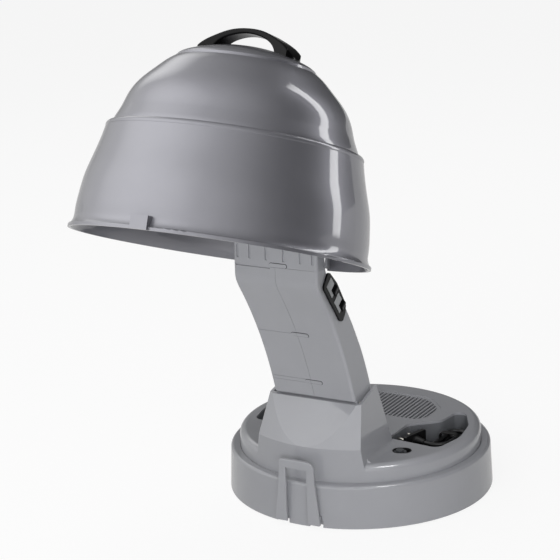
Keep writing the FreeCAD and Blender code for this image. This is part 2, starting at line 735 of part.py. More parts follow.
head_front_centre = (arm_front_y + arm_head_r, arm_head_top - arm_head_r)
head_rear_r = 6.5
head_rear_centre = (rear_y - head_rear_r, arm_head_top - head_rear_r)
barrel_front = around_pivot(barrel_r, facet_turn)
barrel_low = around_pivot(barrel_r, (facet_turn + 360 + tangent_turn) / 2)
barrel_back = around_pivot(barrel_r, tangent_turn)
front_edge = arc3(front_foot, front_low, front_high)
rear_edge = arc3(corner, rear_low, rear_high)
front_bends = two_arcs(at_yz(front_high), at_yz(front_top), front_edge.tangentAt(front_edge.LastParameter),
                       Vector(0, 0, 1))
rear_bends = two_arcs(at_yz(rear_high), at_yz(rear_top), rear_edge.tangentAt(rear_edge.LastParameter),
                      Vector(0, 0, 1))
arm_wire = Part.Wire([
    front_edge,
    front_bends[0],
    front_bends[1],
    line2(front_top, (arm_front_y, arm_head_top - arm_head_r)),
    arc3((arm_front_y, arm_head_top - arm_head_r), quarter(head_front_centre, arm_head_r, 135),
         (arm_front_y + arm_head_r, arm_head_top)),
    line2((arm_front_y + arm_head_r, arm_head_top), (rear_y - head_rear_r, arm_head_top)),
    arc3((rear_y - head_rear_r, arm_head_top), quarter(head_rear_centre, head_rear_r, 45),
         (rear_y, arm_head_top - head_rear_r)),
    line2((rear_y, arm_head_top - head_rear_r), rear_top),
    rear_bends[1],
    rear_bends[0],
    rear_edge,
    line2(corner, barrel_back),
    arc3(barrel_back, barrel_low, barrel_front),
    line2(barrel_front, lip),
    line2(lip, front_foot)])
arm_face = Part.Face(arm_wire)
arm_solid = arm_face.extrude(Vector(arm_half_w, 0, 0))
arm_solid = arm_solid.fuse(mirrored(arm_solid)).removeSplitter()
edge_wanted = []
for edge in arm_solid.Edges:
    bounds = edge.BoundBox
    if abs(bounds.XMax - bounds.XMin) < 0.01 and bounds.ZMax > 154 and bounds.YMin < -121.1:
        edge_wanted.append(edge)
arm_block = arm_solid
arm_solid = arm_block.makeFillet(arm_edge_r, edge_wanted)
print("arm edges", len(edge_wanted), "width", arm_solid.BoundBox.XLength, "rounded", arm_solid.isValid())
arm_inner_face = Part.Face(grown(arm_wire, -arm_wall))
arm_void = arm_inner_face.extrude(Vector(arm_half_w - arm_wall, 0, 0))
arm_void = arm_void.fuse(mirrored(arm_void)).removeSplitter()
arm_shell = arm_solid.cut(arm_void)

# Bosses and holes for the pivot pins, the hood's hinge pins and the screws
boss_in = arm_half_w - 12.0
screw_spots = [(-113.0, 188.0), (-180.0, 311.0)]
arm_screw_r = 1.5
extras = []
holes = []
for side in (-1, 1):
    extras.append(rod(Vector(side * boss_in, arm_pivot_y, arm_pivot_z),
                      Vector(side * arm_half_w, arm_pivot_y, arm_pivot_z), boss_r))
    extras.append(rod(Vector(side * boss_in, hinge_open.y, hinge_open.z),
                      Vector(side * arm_half_w, hinge_open.y, hinge_open.z), 6.6))
    holes.append(rod(Vector(side * (boss_in - 1), arm_pivot_y, arm_pivot_z),
                     Vector(side * 60, arm_pivot_y, arm_pivot_z),
                     arm_pin_r + pin_clearance))
    holes.append(rod(Vector(side * (boss_in - 1), hinge_open.y, hinge_open.z),
                     Vector(side * 60, hinge_open.y, hinge_open.z),
                     hood_pin_r + pin_clearance))
for y, z in screw_spots:
    extras.append(rod(Vector(-arm_half_w + 1, y, z), Vector(arm_half_w - 1, y, z), 4.0))
    holes.append(rod(Vector(-arm_half_w + 4.5, y, z), Vector(arm_half_w - 14, y, z), arm_screw_r))
    holes.append(rod(Vector(-arm_half_w - 1, y, z), Vector(-arm_half_w + 4.5, y, z), 2.8))
arm_shell = arm_shell.multiFuse(extras)
for hole in holes:
    arm_shell = arm_shell.cut(hole)
arm_shell = arm_shell.cut(box(-44, 44, arm_pivot_y - 16, arm_pivot_y - 6, arm_pivot_z - 20,
                              arm_pivot_z - 5))
head_half = box(-90, 90, -260, -60, arm_joint_z, 400)
clip_x = 4.0
clip_half_w = 11.5
clip_h = 4.6
clip_r = 2.2
clip_proud = 0.9
clip_heights = (174.4, 244.5, arm_joint_z + clip_h / 2)
groove_out = -arm_half_w + 2.5
grooves = ((177.2, 0.9, 0.5), (172.4, 0.9, 0.5), (245.0, 0.9, 0.5), (arm_joint_z - 1.3, 2.2, 1.7))
head = arm_shell.common(head_half)
for x in vent_places:
    head = head.cut(box(x - vent_w / 2, x + vent_w / 2, arm_front_y - 1, arm_front_y + vent_depth,
                        vent_bottom, vent_top))
nodes["arm_head"] = head

# Raised clips on the front's parting line, with moulded grooves from them to the left edge
lower_arm = arm_shell.cut(box(-90, 90, -260, -60, arm_joint_z - 0.3, 400))


# The skin between the arm's outline grown by two distances, from one side to the other
def arm_skin(x0, x1, out, depth):
    outside = Part.Face(grown(arm_wire, out) if out else arm_wire).extrude(Vector(x1 - x0, 0, 0))
    inside = Part.Face(grown(arm_wire, -depth)).extrude(Vector(x1 - x0, 0, 0))
    skin = outside.cut(inside)
    skin.translate(Vector(x0, 0, 0))
    return skin


def front_only(z):
    return box(-90, 90, -240, -100 - (z - 153) * 0.42, z - 12, z + 12)


clip_skin = arm_skin(clip_x - clip_half_w - 1, clip_x + clip_half_w + 1, clip_proud, 0.5)
for z in clip_heights:
    low, high = z - clip_h / 2, z + clip_h / 2
    clip = Part.Face(rounded([
        (clip_x - clip_half_w, low, clip_r), (clip_x + clip_half_w, low, clip_r),
        (clip_x + clip_half_w, high, clip_r), (clip_x - clip_half_w, high, clip_r)], on_xz(-240)))
    clip = clip.extrude(Vector(0, 160, 0)).common(front_only(z)).common(clip_skin)
    if low < arm_joint_z:
        lower_arm = lower_arm.fuse(clip)
    else:
        nodes["arm_head"] = nodes["arm_head"].fuse(clip).removeSplitter()
for z, height, depth in grooves:
    groove = arm_skin(groove_out, clip_x - clip_half_w + 0.5, 0, depth)
    groove = groove.common(box(-90, 90, -240, -80, z - height / 2, z + height / 2)).common(front_only(z))
    lower_arm = lower_arm.cut(groove)
half_seam = 0.15
nodes["arm_left_shell"] = lower_arm.common(box(-90, -half_seam, -260, -60, 100, 400))
nodes["arm_right_shell"] = lower_arm.common(box(half_seam, 90, -260, -60, 100, 400))
screws = []
for y, z in screw_spots:
    screws.append(rod(Vector(-arm_half_w + 4.5, y, z), Vector(arm_half_w - 14, y, z), arm_screw_r).fuse(
        rod(Vector(-arm_half_w + 2.5, y, z), Vector(-arm_half_w + 4.5, y, z), 2.7)))
nodes["arm_screws"] = group(screws)

# Pivot pins in the tower's walls, and washers between the arm and the walls
pins = []
washers = []
for side in (-1, 1):
    inner = Vector(side * (boss_in + 0.5), arm_pivot_y, arm_pivot_z)
    pins.append(rod(inner, Vector(side * pin_tip, arm_pivot_y, arm_pivot_z), arm_pin_r))
    washer = rod(Vector(side * arm_half_w, arm_pivot_y, arm_pivot_z),
                 Vector(side * (arm_half_w + washer_w), arm_pivot_y, arm_pivot_z), boss_r)
    washers.append(washer.cut(rod(Vector(side * 50, arm_pivot_y, arm_pivot_z),
                                  Vector(side * 60, arm_pivot_y, arm_pivot_z), arm_pin_r)))
nodes["arm_pivot_pins"] = group(pins)
nodes["arm_washers"] = group(washers)

# Heater in the arm: a crossed frame with a wound wire drawn as plain bars, and its two safety cut-outs
heater_turn = 32.7
heater_low = Vector(0, -127.5, 227.0)
heater_l = 60.0
heater_place = Placement(heater_low, Rotation(Vector(1, 0, 0), heater_turn))
frame_plates = [box(-42, 42, -0.6, 0.6, 0, heater_l)]
for x in (-40.0, -20.0, 0.0, 20.0, 40.0):
    frame_plates.append(box(x - 0.6, x + 0.6, -9, 9, 4, heater_l - 4))
heater = joined(frame_plates)
bars = []
bar_r = 0.7
for i in range(6):
    z = 8.0 + 8.5 * i
    bars.append(rod(Vector(-38, 5, z), Vector(38, 5, z), bar_r))
    if i < 5:
        x = 38 if i % 2 == 0 else -38
        bars.append(rod(Vector(x, 5, z), Vector(x, 5, z + 8.5), bar_r))
coil = joined(bars)
nodes["heater_frame"] = heater.cut(coil)
nodes["heater_coil"] = coil
nodes["thermostat"] = upright(-30, 0, heater_l, heater_l + 5, 6)
nodes["thermal_fuse"] = rod(Vector(10, 0, heater_l + 2), Vector(26, 0, heater_l + 2), 2)
for name in ("heater_frame", "heater_coil", "thermostat", "thermal_fuse"):
    moved = nodes[name].copy()
    moved.Placement = heater_place.multiply(moved.Placement)
    nodes[name] = moved
nodes["ioniser_module"] = box(-14, 14, rear_y - arm_wall - 9, rear_y - arm_wall, 350, 366)

# Switches on the arm's right side, in a frame with U down along the arm and V to the back
bezel_place = Placement(Vector(arm_half_w, -167.0, 302.0), Rotation(Vector(1, 0, 0), -53.13))
bezel_proud = 2.5
bezel = side_slab([(-183.4, 336.0, 5), (-163.5, 316.5, 14), (-142.5, 284.5, 5), (-144.0, 274.5, 4),
                   (-150.5, 266.0, 5),
                   (-157.5, 267.0, 5), (-197.5, 319.0, 6)], arm_half_w - 0.2, arm_half_w + bezel_proud)


def on_bezel(u0, u1, v0, v1, x0, x1):
    shape = box(x0, x1, u0, u1, v0, v1)
    shape.Placement = bezel_place.multiply(shape.Placement)
    return shape


rocker_l = 13.0
rocker_w = 10.0
rocker_gap = 0.4
rocker_lift = 0.9
rocker_spots = ((-7.5, 2.4), (22.0, 2.4))
label_wide = 12.0
label_half_v = 7.2
label_lip = 4.4
rockers = []
wells = []
for u, v in rocker_spots:
    wells.append(on_bezel(u - rocker_l / 2 - rocker_gap, u + rocker_l / 2 + rocker_gap,
                          v - rocker_w / 2 - rocker_gap,
                          v + rocker_w / 2 + rocker_gap, -1.0, bezel_proud + 1))
    half = rocker_l / 2
    crown = Part.Arc(Vector(0.3, -half, 0), Vector(bezel_proud + 1.6, 0, 0), Vector(0.3, half, 0)).toShape()
    top_a, top_b = Vector(0.3, -half, 0), Vector(0.3, half, 0)
    low_a, low_b = Vector(-0.1, -half * 0.7, 0), Vector(-0.1, half * 0.7, 0)
    face = Part.Face(Part.Wire([crown, Part.LineSegment(top_b, low_b).toShape(),
                                Part.LineSegment(low_b, low_a).toShape(),
                                Part.LineSegment(low_a, top_a).toShape()]))
    rocker = face.extrude(Vector(0, 0, rocker_w))
    rocker.translate(Vector(rocker_lift, u, v - rocker_w / 2))
    rocker.Placement = bezel_place.multiply(rocker.Placement)
    rockers.append(rocker)
bezel = bezel.cut(group([w.common(on_bezel(-60, 60, -40, 40, 0.0, 10)) for w in wells]))
nodes["switch_bezel"] = bezel.common(on_bezel(-60, 60, -40, 40, 0.0, 10))
nodes["heat_switch"] = rockers[0]
nodes["speed_switch"] = rockers[1]
labels = []
for u, v in rocker_spots:
    plate_end = u - rocker_l / 2 - rocker_gap - 0.8
    plate_v = -1.5 - label_half_v
    wide = on_bezel(plate_end - label_wide, plate_end, plate_v, plate_v + 2 * label_half_v, bezel_proud,
                    bezel_proud + 0.5)
    narrow = on_bezel(plate_end, u + 1.0, plate_v, plate_v + label_lip, bezel_proud, bezel_proud + 0.5)
    labels.append(wide.fuse(narrow).removeSplitter())
nodes["switch_labels"] = group(labels)
for label_name, (u, v) in zip(("heat", "speed"), rocker_spots):
    middle = bezel_place.multVec(Vector(rocker_lift + 0.6, u, v))
    print(label_name, "rocker at", [round(c, 2) for c in middle])

# Hood skirt, in the hood's own frame
skirt_low_r = hood_rim_r - 1.8
skirt_high_r = hood_step_r + 6.7
skirt_swell = ((1.0, 4.6), (0.9, 8.0), (0.8435, 20.0), (0.7739, 40.0), (0.6478, 60.0), (0.4087, 80.0),
               (0.1652, 100.0))
skirt_out = [(skirt_high_r + (skirt_low_r - skirt_high_r) * share, z) for share, z in skirt_swell]
skirt_out.append((skirt_high_r, hood_step_z - 6.0))
skirt_in = [(r - hood_wall, z) for r, z in skirt_out[1:]]
skirt_in = [(hood_rim_r - 3.4, 0.0), (hood_rim_r - 4.8, 3.0)] + skirt_in
top_out = hood_step_r + 3.4
outer_curve = spline(skirt_out)
inner_curve = spline(skirt_in)


def flat_line(a, b):
    return Part.LineSegment(Vector(a[0], 0, a[1]), Vector(b[0], 0, b[1])).toShape()


def flat_arc(a, b, c):
    return Part.Arc(Vector(a[0], 0, a[1]), Vector(b[0], 0, b[1]), Vector(c[0], 0, c[1])).toShape()


skirt_top_in = hood_step_z - hood_wall
skirt_face = Part.Face(Part.Wire([
    inner_curve,
    flat_arc(skirt_in[-1], (skirt_in[-1][0] - 0.7, hood_step_z - 3.4), (top_out - 1.5, skirt_top_in)),
    flat_line((top_out - 1.5, skirt_top_in), (hood_step_r + 0.2, skirt_top_in)),
    flat_line((hood_step_r + 0.2, skirt_top_in), (hood_step_r + 0.2, hood_step_z)),
    flat_line((hood_step_r + 0.2, hood_step_z), (top_out, hood_step_z)),
    flat_arc((top_out, hood_step_z), (skirt_high_r - 1.1, hood_step_z - 1.4), skirt_out[-1]),
    outer_curve,
    flat_arc(skirt_out[0], (hood_rim_r - 0.4, 3.9), (hood_rim_r, 2.4)),
    flat_line((hood_rim_r, 2.4), (hood_rim_r, 0.0)),
    flat_line((hood_rim_r, 0.0), skirt_in[0])]))
skirt = skirt_face.revolve(Vector(), Vector(0, 0, 1), 360)
inner_room = Part.Face(Part.Wire([
    inner_curve,
    flat_line(skirt_in[-1], (0, skirt_in[-1][1])),
    flat_line((0, skirt_in[-1][1]), (0, 0)),
    flat_line((0, 0), skirt_in[0])])).revolve(Vector(), Vector(0, 0, 1), 360)
tab = box(-tab_half_w, tab_half_w, -(hood_rim_r - 5.0 + tab_proud), -(hood_rim_r - 10.0), 0.0,
          tab_h).cut(inner_room)
notch = box(-notch_half_w, notch_half_w, hood_rim_r - 40, hood_rim_r + 20, -1, notch_h)
skirt = skirt.fuse(tab).cut(notch)
nodes["hood_skirt"] = in_hood(skirt)

# Hood dome and its crown cap
seat_z = crown_z - 2.0
seat_r = crown_r + 2.5
dome_base_z = hood_step_z - 2.0
dome_swell = ((1.0, 0.0), (0.99483, 3.0), (0.9569, 9.0), (0.87759, 19.0), (0.81897, 29.0), (0.75, 39.0),
              (0.64655, 49.0),
              (0.5, 59.0), (0.32759, 69.0), (0.14655, 79.0), (0.0, 85.0))
dome_rise = (seat_z - 0.5 - dome_base_z) / dome_swell[-1][1]
dome_out = [(seat_r + (hood_step_r - seat_r) * share, dome_base_z + z * dome_rise) for share,
            z in dome_swell]
dome = turned_shell(dome_out, hood_wall)
flange_in = hood_step_r - 4.5
flange_out = hood_step_r + 1.9
flange = turned([
    (flange_in, skirt_top_in - hood_wall), (flange_out, skirt_top_in - hood_wall),
    (flange_out, skirt_top_in),
    (hood_step_r, skirt_top_in), (hood_step_r, hood_step_z - 1), (hood_step_r - hood_wall, hood_step_z - 1),
    (flange_in, skirt_top_in)])
seat_in = crown_r - 12.0
seat = turned([(seat_in, seat_z - hood_wall), (seat_r, seat_z - hood_wall), (seat_r, seat_z),
               (seat_in, seat_z)])
nodes["hood_dome"] = in_hood(joined([dome, flange, seat]))
crown_out = [(crown_r, crown_z + 0.8), (75.5, 211.2), (68.0, 214.8), (55.0, 219.4), (40.0, 223.3),
             (20.0, 226.8), (0.0, 228.0)]
crown_curve = spline(crown_out)
crown_wall = 2.4
crown_in_curve = spline([(crown_r - crown_wall, seat_z), (72.0, 209.6), (60.0, 214.8), (40.0, 220.6),
                         (20.0, 224.3), (0.0, 225.5)])
crown_solid = Part.Face(Part.Wire([crown_curve, flat_line((0, 228.0), (0, seat_z)),
                                   flat_line((0, seat_z), (crown_r, seat_z)),
                                   flat_line((crown_r, seat_z), crown_out[0])])).revolve(Vector(),
                                                                                         Vector(0, 0, 1),
                                                                                         360)
crown_void = Part.Face(Part.Wire([crown_in_curve, flat_line((0, 225.5), (0, seat_z)),
                                  flat_line((0, seat_z),
                                            (crown_r - crown_wall, seat_z))])).revolve(Vector(),
                                                                                       Vector(0, 0, 1), 360)


# A spindle along X for the finger dish under the handle
def spindle(half_l, radius):
    arc = Part.Arc(Vector(-half_l, 0, 0), Vector(0, radius, 0), Vector(half_l, 0, 0)).toShape()
    face = Part.Face(Part.Wire([arc, Part.LineSegment(Vector(half_l, 0, 0),
                                                      Vector(-half_l, 0, 0)).toShape()]))
    solid = face.revolve(Vector(), Vector(1, 0, 0), 360)
    solid.translate(Vector(0, 0, 235.5))
    return solid


dish_l = 36.0
dish_r = 19.0
crown = crown_solid.cut(spindle(dish_l, dish_r)).cut(crown_void.cut(spindle(dish_l + 2.6, dish_r + 2.4)))
nodes["crown_cap"] = in_hood(crown)

# Carrying handle across the crown
handle_top_curve = [(-handle_half_l - 1, 217.0), (-57.0, 226.6), (-39.0, 238.4), (-22.0, 245.3),
                    (0.0, handle_top),
                    (22.0, 245.3), (39.0, 238.4), (57.0, 226.6), (handle_half_l + 1, 217.0)]
handle_low_curve = [(-finger_half_l, 221.0), (-34.0, 231.0), (-18.0, 239.2),
                    (0.0, handle_top - handle_thick),
                    (18.0, 239.2), (34.0, 231.0), (finger_half_l, 221.0)]
handle_foot = 210.0
arch = Part.Face(Part.Wire([
    spline(handle_top_curve),
    flat_line(handle_top_curve[-1], (handle_half_l + 1, handle_foot)),
    flat_line((handle_half_l + 1, handle_foot), (finger_half_l, handle_foot)),
    flat_line((finger_half_l, handle_foot), handle_low_curve[-1]),
    spline(handle_low_curve),
    flat_line(handle_low_curve[0], (-finger_half_l, handle_foot)),
    flat_line((-finger_half_l, handle_foot), (-handle_half_l - 1, handle_foot)),
    flat_line((-handle_half_l - 1, handle_foot), handle_top_curve[0])])).extrude(Vector(0, 60, 0))
arch.translate(Vector(0, -30, 0))
plan_edges = []
handle_foot_w = handle_half_w + 5
handle_tip = handle_half_l + 1
for side in (-1, 1):
    plan_edges.append(Part.Arc(Vector(6 - handle_tip, side * handle_foot_w, 200),
                               Vector(0, side * handle_half_w, 200),
                               Vector(handle_tip - 6, side * handle_foot_w, 200)).toShape())
    plan_edges.append(Part.Arc(Vector(side * (handle_tip - 6), -handle_foot_w, 200),
                               Vector(side * handle_tip, 0, 200),
                               Vector(side * (handle_tip - 6), handle_foot_w, 200)).toShape())
plan = Part.Face(Part.Wire(Part.__sortEdges__(plan_edges))).extrude(Vector(0, 0, 60))
handle = arch.common(plan)
handle_round = [e for e in handle.Edges if e.BoundBox.ZMin > 220 and e.BoundBox.XLength > 60]
handle_round = [e for e in handle_round if e.BoundBox.YLength > 2]
print("handle edges", len(handle_round))
if handle_round:
    handle = handle.makeFillet(2.2, handle_round)
handle = handle.cut(crown_solid)
handle_screw_x = (finger_half_l + handle_half_l) / 2
handle_screws = []
for side in (-1, 1):
    shank = upright(side * handle_screw_x, 0, 208.0, 226.0, 2.0)
    head_part = upright(side * handle_screw_x, 0, 208.0, 214.0, 3.6)
    handle_screws.append(shank.fuse(head_part))
screw_group = group(handle_screws)
nodes["carry_handle"] = in_hood(handle.cut(screw_group))
nodes["crown_cap"] = in_hood(crown.cut(screw_group))
nodes["handle_screws"] = in_hood(group([s for s in handle_screws]))

# Brackets inside the hood, with the hinge pins and their washers
lug_in = notch_half_w + 0.3
lug_w = 4.0
lug_r = 6.5
lug_floor = 2.0
cover_room = upright(0, 0, -1, hood_hinge_up - lug_r, cover_r + 1.5)
lugs = []
for side in (-1, 1):
    x0, x1 = sorted((side * lug_in, side * (lug_in + lug_w)))
    eye = rod(Vector(x0, hood_hinge_back, hood_hinge_up), Vector(x1, hood_hinge_back, hood_hinge_up), lug_r)
    plate_part = side_slab([
        (hood_hinge_back - lug_r, hood_hinge_up, 0), (hood_hinge_back - 3, lug_floor, 3),
        (hood_rim_r, lug_floor, 0), (hood_rim_r, hood_hinge_up + 30, 0),
        (hood_hinge_back + 6, hood_hinge_up + 24, 0),
        (hood_hinge_back, hood_hinge_up + lug_r, 0)], x0, x1)
    flange_x = sorted((side * lug_in, side * (lug_in + 18)))
    foot = box(flange_x[0], flange_x[1], hood_rim_r - 50, hood_rim_r, hood_hinge_up - lug_r,
               hood_hinge_up + 30)
    band = inner_room.cut(turned([
        (0, 0), (hood_rim_r - 16, 0), (hood_rim_r - 16, hood_step_z), (0, hood_step_z)]))
    lugs.append(joined([eye, plate_part.common(inner_room).cut(cover_room), foot.common(band)]))
pin_axis = [(Vector(side * (boss_in + 0.5), hood_hinge_back, hood_hinge_up),
             Vector(side * (lug_in + lug_w + 0.5), hood_hinge_back, hood_hinge_up))
            for side in (-1, 1)]
hood_pins = [rod(a, b, hood_pin_r) for a, b in pin_axis]
nodes["hood_brackets"] = in_hood(group([lug.cut(pin) for lug, pin in zip(lugs, hood_pins)]))
nodes["hood_hinge_pins"] = in_hood(group(hood_pins))
hood_washers = []
for side in (-1, 1):
    a = Vector(side * arm_half_w, hood_hinge_back, hood_hinge_up)
    b = Vector(side * lug_in, hood_hinge_back, hood_hinge_up)
    hood_washers.append(rod(a, b, 6.2).cut(rod(a, b, hood_pin_r)))
nodes["hood_washers"] = in_hood(group(hood_washers))

# Cord: a straight lead in, a hank of racetrack loops stacked upward, and a bent tail to the plug
cord_r = cord_d / 2
pitch = cord_d + hank_gap
hank_z = well_floor + hank_floor_gap + cord_r
left_x = hank_x - hank_half_w
right_x = hank_x + hank_half_w


def profile_at(point, way):
    circle = Part.Circle(point, way, cord_r).toShape()
    return Part.Wire([circle])


def swept(edges, start, way):
    path = Part.Wire(edges)
    shape = path.makePipeShell([profile_at(start, way)], True, False)
    length = path.Length
    print("tube", round(length, 1), "volume over section",
          round(shape.Volume / (math.pi * cord_r ** 2 * length), 4))
    return shape


ahead = Vector(0, 1, 0)
hank_edges = []
mid_y = (hank_front + hank_back) / 2
for i in range(hank_turns):
    z = hank_z + pitch * i
    up_mid = z + pitch / 2
    up = z + pitch
    a, b, c = Vector(left_x, hank_front, z), Vector(left_x + hank_waist, mid_y, z), Vector(left_x,
                                                                                           hank_back, z)
    hank_edges += two_arcs(a, b, ahead, ahead) + two_arcs(b, c, ahead, ahead)
    hank_edges.append(Part.Arc(c, Vector(hank_x, hank_back + hank_half_w, z),
                               Vector(right_x, hank_back, z)).toShape())
    d, e, f = Vector(right_x, hank_back, z), Vector(right_x - hank_waist, mid_y, up_mid), Vector(right_x,
                                                                                                 hank_front,
                                                                                                 up)
    hank_edges += two_arcs(d, e, -ahead, -ahead) + two_arcs(e, f, -ahead, -ahead)
    if i < hank_turns - 1:
        hank_edges.append(Part.Arc(f, Vector(hank_x, hank_front - hank_half_w, up),
                                   Vector(left_x, hank_front, up)).toShape())
nodes["cord_hank"] = swept(hank_edges, Vector(left_x, hank_front, hank_z), ahead)
samples = []
for edge in hank_edges:
    samples += edge.discretize(9)[:-1]
least = min((samples[i] - samples[j]).Length for i in range(len(samples)) for j in range(i + 40,
                                                                                         len(samples)))
print("hank least gap to itself", round(least - cord_d, 2))

gland_end = -36.0
lead_start = Vector(left_x, gland_end, hank_z)
lead_end = Vector(left_x, hank_front, hank_z)
nodes["cord_lead"] = rod(lead_start, lead_end, cord_r)
gland = joined([rod(Vector(gland_x, -56, gland_z), Vector(gland_x, gland_end, gland_z), gland_r),
                rod(Vector(gland_x, -58, gland_z), Vector(gland_x, -51, gland_z), gland_r + 1.3)])
nodes["cord_gland"] = gland

# Tail: straight, one arc, straight into the plug's relief
tail_r = 3 * cord_d
top_z = hank_z + pitch * hank_turns
tail_half = math.radians(tail_turn / 2)
reach = tail_r * math.tan(tail_half)
heading = Vector(math.cos(math.radians(270 - tail_turn)), math.sin(math.radians(270 - tail_turn)), 0)
tail_start = Vector(right_x, hank_front, top_z)
bend_start = tail_start - ahead * 0.6
bend_corner = bend_start - ahead * reach
bend_end = bend_corner + heading * reach
to_centre = Vector(-1, 0, 0)
bend_centre = bend_start + to_centre * tail_r
bend_mid = bend_corner - bend_centre
bend_mid.normalize()
bend_mid = bend_centre + bend_mid * tail_r
tail_end = bend_end + heading * cord_d
tail_edges = [Part.LineSegment(tail_start, bend_start).toShape(),
              Part.Arc(bend_start, bend_mid, bend_end).toShape(),
              Part.LineSegment(bend_end, tail_end).toShape()]
print("tail radius", round(tail_r, 2))
nodes["cord_tail"] = swept(tail_edges, tail_start, -ahead)

# Plug: relief, flange and two round pins, drawn along X and then turned to the tail's heading
plug_place = Placement(tail_end, Rotation(Vector(0, 0, 1), 270 - tail_turn))
relief = Part.makeCone(cord_r + 0.9, 6.5, plug_relief, Vector(0, 0, 0), Vector(1, 0, 0))
flange_box = box(plug_relief, plug_relief + plug_flange, -plug_half_w, plug_half_w, -plug_half_h,
                 plug_half_h)
flange_box = flange_box.makeFillet(2.0, [e for e in flange_box.Edges if e.BoundBox.XLength > 1])
plug_body = relief.fuse(flange_box)
plug_pins = []
for side in (-1, 1):
    start = Vector(plug_relief + plug_flange, side * plug_pin_pitch / 2, 0)
    pin = rod(start, start + Vector(plug_pin_l, 0, 0), plug_pin_r)
    plug_pins.append(pin.makeFillet(1.0,
                                    [e for e in pin.Edges if e.BoundBox.XMin > start.x + plug_pin_l - 0.1]))
nodes["plug_body"] = plug_body
nodes["plug_pins"] = group(plug_pins)
for name in ("plug_body", "plug_pins"):
    moved = nodes[name].copy()
    moved.Placement = plug_place.multiply(moved.Placement)
    nodes[name] = moved
cord_total = sum(edge.Length for edge in hank_edges) + (lead_end - lead_start).Length
print("cord length", round(cord_total + sum(edge.Length for edge in tail_edges)))

for name, shape in nodes.items():
    shape.exportStep("parts/" + name + ".step")
    print(name, shape.isValid(), len(shape.Solids), round(shape.Volume / 1000, 2))
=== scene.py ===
import json
import math

import bpy
import numpy as np
from mathutils import Matrix, Quaternion, Vector


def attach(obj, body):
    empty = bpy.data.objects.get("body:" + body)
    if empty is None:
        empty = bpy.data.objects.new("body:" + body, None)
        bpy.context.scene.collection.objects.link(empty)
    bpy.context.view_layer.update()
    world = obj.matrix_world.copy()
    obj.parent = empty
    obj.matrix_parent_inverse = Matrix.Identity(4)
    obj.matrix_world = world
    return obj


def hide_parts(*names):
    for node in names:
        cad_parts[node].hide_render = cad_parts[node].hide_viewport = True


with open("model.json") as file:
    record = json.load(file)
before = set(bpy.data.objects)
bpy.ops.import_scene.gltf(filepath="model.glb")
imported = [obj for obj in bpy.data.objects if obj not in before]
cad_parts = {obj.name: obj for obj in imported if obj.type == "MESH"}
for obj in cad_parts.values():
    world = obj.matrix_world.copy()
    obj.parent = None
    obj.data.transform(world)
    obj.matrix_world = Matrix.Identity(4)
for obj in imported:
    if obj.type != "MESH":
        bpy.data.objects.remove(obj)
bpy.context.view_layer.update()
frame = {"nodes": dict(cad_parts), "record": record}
nodes = frame["nodes"]
print("frame loaded,", len(nodes), "nodes")

# The dryer is seen from its front and a little from its right, through a long lens
cameraView = {
    "target": (-0.02634, -0.150, 0.30713),
    "azimuth": 29.56,  # from the front towards the right, in degrees
    "elevation": 16.09,
    "distance": 2.40995,
    "roll": -2.06,
    "lens": 128.57,
    "sensor": 36.0,
    "nearest": 0.05,
}


# Unit vector towards a place at this azimuth (from -Y towards +X) and elevation, both in degrees
def wayTo(azimuthDegrees, elevationDegrees):
    azimuth, elevation = math.radians(azimuthDegrees), math.radians(elevationDegrees)
    level = math.cos(elevation)
    return Vector((math.sin(azimuth) * level, -math.cos(azimuth) * level, math.sin(elevation)))


# The camera stands at its distance from the target along that way, looks back at it, and is rolled about its
# own line of sight
def makeCamera(view):
    back = wayTo(view["azimuth"], view["elevation"])
    azimuth, roll = math.radians(view["azimuth"]), math.radians(view["roll"])
    right = Vector((math.cos(azimuth), math.sin(azimuth), 0.0))
    up = back.cross(right)
    turnedRight = math.cos(roll) * right + math.sin(roll) * up
    turnedUp = -math.sin(roll) * right + math.cos(roll) * up
    data = bpy.data.cameras.new("photoCamera")
    data.sensor_width = view["sensor"]
    data.lens = view["lens"]
    data.clip_start = view["nearest"]
    camera = bpy.data.objects.new("photoCamera", data)
    bpy.context.scene.collection.objects.link(camera)
    place = Vector(view["target"]) + back * view["distance"]
    turn = Matrix((turnedRight, turnedUp, back)).transposed().to_4x4()
    camera.matrix_world = Matrix.Translation(place) @ turn
    bpy.context.scene.camera = camera


makeCamera(cameraView)


# An sRGB hex value such as "8f9094" as a linear colour: a straight part near black, then a power of 2.4
def linearColour(text):
    values = [int(text[i:i + 2], 16) / 255 for i in (0, 2, 4)]
    return tuple(v / 12.92 if v <= 0.04045 else ((v + 0.055) / 1.055) ** 2.4 for v in values) + (1.0,)


# Adds one node, sets its plain values and makes its links, each given as socket=(node, output name). A
# socket that has a number and no name of its own is in0, in1 or in2
def addNode(tree, kind, settings=(), **links):
    node = tree.nodes.new(kind)
    for key, value in dict(settings).items():
        if isinstance(key, str) and hasattr(node, key):
            setattr(node, key, value)
        else:
            node.inputs[key].default_value = value
    for key, source in links.items():
        socket = int(key[2:]) if key.startswith("in") else key.replace("_", " ")
        tree.links.new(source[0].outputs[source[1]], node.inputs[socket])
    return node


# What a finish has unless it says otherwise: an uncoated plastic. The colour drifts between colour and deep
# over the wave, and the grain moves roughness and a shallow bump. Both are in mm. A mould's real texture is
# 0.1 to 0.2 mm fine; it is drawn 0.5 mm wide and more so that it shows
plainFinish = {
    "metallic": 0.0,
    "specular": 0.5,
    "coat": 0.0,
    "coatRough": 0.1,
    "spread": 0.06,
    "grain": 0.6,
    "wave": 12.0,
}

